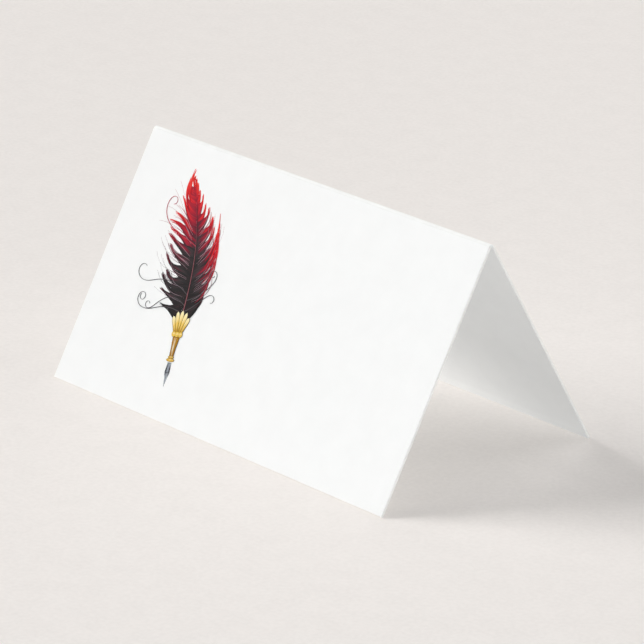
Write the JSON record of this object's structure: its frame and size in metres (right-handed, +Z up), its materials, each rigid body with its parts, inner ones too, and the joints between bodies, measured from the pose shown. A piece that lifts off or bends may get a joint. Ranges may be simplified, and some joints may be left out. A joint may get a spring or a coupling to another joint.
{
  "type": "folded place card",
  "caption": "Heavy white card creased across its middle to stand as a tent, with a quill pen printed at the left of its front panel and room beside it to write a name.",
  "frame": {"origin": "on the table, under the fold, halfway along it", "axes": "+X along the fold, to the right as the front panel is read; -Y is the way the front panel faces; +Z up"},
  "size_m": [0.0888, 0.0524, 0.0439],
  "materials": {
    "white_card": "matte",
    "creased_card": "matte",
    "feather_ink": "satin",
    "gold_ink": "satin",
    "steel_grey_ink": "satin"
  },
  "bodies": {
    "front": {"front_panel": "white_card", "fold_strip": "creased_card", "ink_feather": "feather_ink", "ink_ferrule": "gold_ink", "ink_nib": "steel_grey_ink"},
    "back": {"back_panel": "white_card"}
  },
  "joints": [
    {"name": "fold", "type": "hinge", "parent": "front", "child": "back", "pos_m": [0, 0, 0.04324], "axis": [1, 0, 0], "range_deg": [-61.2, 118.8], "deforming": ["fold_strip"]}
  ]
}
